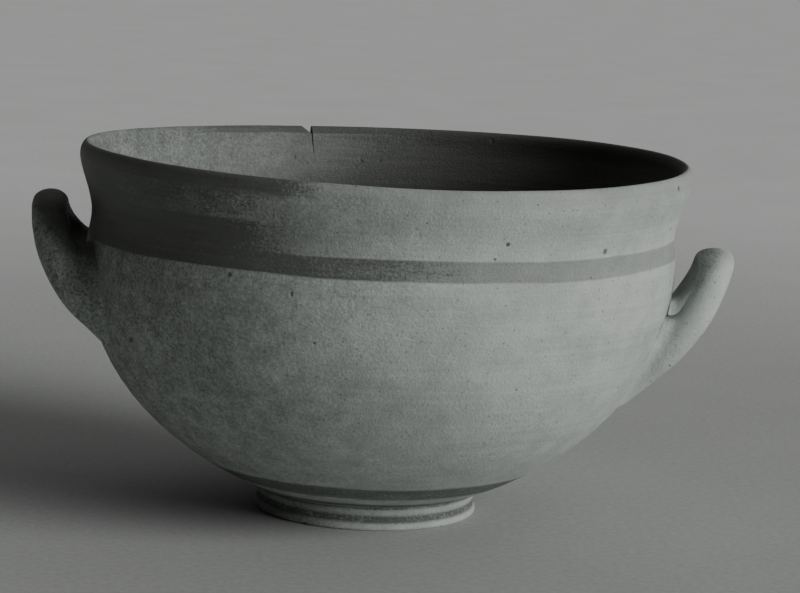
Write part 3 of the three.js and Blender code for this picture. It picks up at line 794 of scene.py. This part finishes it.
def rolled_handle(name, azimuth, coil, root_spread, front_root, back_root, reach, apex_height,
                  top_pressed, top_widened, luting_radius):
    """A coil bent to a loop; each root is its height, the rise of the coil there and its pull."""
    def root_places(side, root_height, rise, pull):
        radius = wall_radius(root_height)
        half_angle = math.asin(root_spread / 2 / radius)
        outward = Vector((
            math.cos(half_angle) * math.cos(math.radians(rise)),
            side * math.sin(half_angle) * math.cos(math.radians(rise)),
            math.sin(math.radians(rise)),
        ))
        root = Vector((radius * math.cos(half_angle), side * radius * math.sin(half_angle), root_height))
        return root, root - outward * ROOT_SINK, outward, pull

    side = -1 if abs(azimuth) < 90 else 1
    root, buried, outward, pull = root_places(side, *front_root)
    last_root, last_buried, last_outward, last_pull = root_places(-side, *back_root)
    apex = Vector((SHOULDER_RADIUS + reach, 0, apex_height))
    level = Vector((0, APEX_PULL * side, 0))
    places = [
        (buried, buried - outward * 3, buried + outward * 3, 1.35),
        (root, root - outward * 6, root + outward * pull, 1.16),
        (apex, apex + level, apex - level, 1.0),
        (last_root, last_root + last_outward * last_pull, last_root - last_outward * 6, 1.16),
        (last_buried, last_buried + last_outward * 3, last_buried, 1.35),
    ]
    bpy.ops.curve.primitive_bezier_curve_add(location=(0, 0, 0))
    coil_curve = bpy.context.object
    coil_curve.name = name
    coil_curve.data.dimensions = "3D"
    coil_curve.data.resolution_u = 40
    coil_curve.data.bevel_depth = (coil - 0.15) * MM
    coil_curve.data.bevel_resolution = 12
    coil_curve.data.use_fill_caps = True
    spline = coil_curve.data.splines[0]
    spline.use_smooth = True
    spline.bezier_points.add(len(places) - 2)
    for point, (place, back, on, thickness) in zip(spline.bezier_points, places):
        point.handle_left_type = "FREE"
        point.handle_right_type = "FREE"
        point.co = place * MM
        point.handle_left = back * MM
        point.handle_right = on * MM
        point.radius = thickness
    bpy.ops.object.convert(target="MESH")
    handle = bpy.context.object
    bpy.ops.object.mode_set(mode="EDIT")
    bpy.ops.mesh.select_all(action="SELECT")
    bpy.ops.mesh.remove_doubles(threshold=0.01 * MM)
    bpy.ops.mesh.normals_make_consistent(inside=False)
    bpy.ops.object.mode_set(mode="OBJECT")
    rolled = bpy.data.textures.new(name + " hand rolling", "CLOUDS")
    rolled.noise_scale = 0.02
    squeeze = handle.modifiers.new("squeeze", "DISPLACE")
    squeeze.texture = rolled
    squeeze.texture_coords = "LOCAL"
    squeeze.strength = 0.9 * MM
    squeeze.mid_level = 0.9
    apply_modifier(handle, squeeze)

    # The potter's palm pressed the top of the loop flatter and wider
    for vertex in handle.data.vertices:
        near_top = 1 - smooth_share(abs(vertex.co.y), 8 * MM, root_spread / 2 * MM)
        near_top *= smooth_share(vertex.co.z, (apex_height - 12) * MM, apex_height * MM)
        widen = 1 + (top_widened - 1) * near_top
        vertex.co.x = apex.x * MM + (vertex.co.x - apex.x * MM) * widen
        if vertex.co.z > apex.z * MM:
            press = 1 + (top_pressed - 1) * near_top
            vertex.co.z = apex.z * MM + (vertex.co.z - apex.z * MM) * press

    # Wet clay is worked into the corner between coil and wall: a block of the wall is joined to the
    # coil, the two become one skin, and the skin is swelled and drawn in again, which fills corners
    handle.data.transform(Matrix.Rotation(math.radians(azimuth), 4, "Z"))
    wall = pot_inside_skin(0.35)
    bpy.ops.mesh.primitive_cube_add(size=1)
    block = bpy.context.object
    block.data.transform(Matrix.Diagonal((100 * MM, (root_spread + 60) * MM, 66 * MM, 1)))
    block.data.transform(Matrix.Translation((140 * MM, 0, ((root.z + last_root.z) / 2 - 11) * MM)))
    block.data.transform(Matrix.Rotation(math.radians(azimuth), 4, "Z"))
    keep = wall.modifiers.new("keep", "BOOLEAN")
    keep.object = block
    keep.operation = "INTERSECT"
    keep.solver = "MANIFOLD"
    apply_modifier(wall, keep)
    bpy.data.objects.remove(block)
    bpy.ops.object.select_all(action="DESELECT")
    wall.select_set(True)
    handle.select_set(True)
    bpy.context.view_layer.objects.active = handle
    bpy.ops.object.join()
    one_skin(handle, 0.9)
    swell(handle, luting_radius)
    one_skin(handle, 0.7)
    rub_smooth(handle, 5)
    swell(handle, -luting_radius)
    one_skin(handle, 0.8)
    rub_smooth(handle, 4)
    cut_away(handle, pot_inside_skin(0.12))
    handle.data.transform(lean)
    finish_shading(handle, 60)
    return handle


def handle_paint(low, high, wear, stain, inner_side_shade_drop, rear_limb_shade_drop):
    """Dark paint brushed over the top of a loop, between two heights, worn where hands touched it.
    Its lower edge is drawn down the loop's inner side and rear limb as painted shade.
    """
    def cover(tree):
        point = node(tree, "ShaderNodeTexCoord", (-2600, 0)).outputs["Object"]
        split = node(tree, "ShaderNodeSeparateXYZ", (-2400, -300))
        tree.links.new(point, split.inputs["Vector"])
        brush = stretched_noise(tree, point, (1, 1, 1), 70, 4, 0.6, (-2400, 0))
        level = maths(tree, "MULTIPLY", split.outputs["Z"], 1000, (-2200, -300))
        outward = maths(tree, "ABSOLUTE", split.outputs["X"], 0, (-2350, -500))
        # The paint's lower edge drops toward the pot's wall: painted shade on the loop's inner side
        inner_side_shade = maths(tree, "SUBTRACT", 0.143, outward, (-2250, -500))
        inner_side_shade = maths(tree, "MULTIPLY", inner_side_shade, inner_side_shade_drop, (-2150, -500))
        level = maths(tree, "ADD", level, inner_side_shade, (-2050, -400))
        # and drops on the rear limb: painted shade behind the front limb
        rear_limb_shade = maths(tree, "ADD", split.outputs["Y"], 0.012, (-2350, -700))
        rear_limb_shade = maths(tree, "MAXIMUM", rear_limb_shade, 0, (-2250, -700))
        rear_limb_shade = maths(tree, "MULTIPLY", rear_limb_shade, rear_limb_shade_drop, (-2150, -700))
        level = maths(tree, "ADD", level, rear_limb_shade, (-2000, -500))
        level = maths(tree, "ADD", level, maths(tree, "MULTIPLY", brush, 9, (-2200, 0)), (-2000, -200))
        top = ranged(tree, level, low + 4.5, high + 4.5, (-1800, -200))
        worn = paint_band(tree, -50, 400, 1.0, 0.0, wear, stain, (-1500, 0))
        return maths(tree, "MULTIPLY", top, worn, (-1250, 0))
    return cover


handle_clay_tones = ((0.382, 0.413, 0.388, 1), (0.25, 0.272, 0.255, 1))
left_handle = rolled_handle(
    "left_handle_coil", 184, 8.1, 66, (89.3, 38, 26), (101, 25, 30), 16.3, 130, 0.66, 1.0, 3.9)
left_handle.data.materials.clear()
# The last two numbers lower the paint as painted shade on the inner side and the rear limb
left_handle.data.materials.append(painted_clay(
    "left handle clay", *handle_clay_tones, 0.0, handle_paint(119, 130, 0.4, 0.6, 700, 1300)))
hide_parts("left_handle")
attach(left_handle, "root")

right_handle = rolled_handle(
    "right_handle_coil", -2.5, 6.9, 50, (74, 40, 32), (73, 40, 32), 17.0, 117.8, 0.66, 1.22, 4.0)
right_handle.data.materials.clear()
# The last two numbers lower the paint as painted shade on the inner side and the rear limb
right_handle.data.materials.append(painted_clay(
    "right handle clay", *handle_clay_tones, 0.0, handle_paint(112, 122, 0.52, 0.25, 1200, 0)))
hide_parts("right_handle")
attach(right_handle, "root")
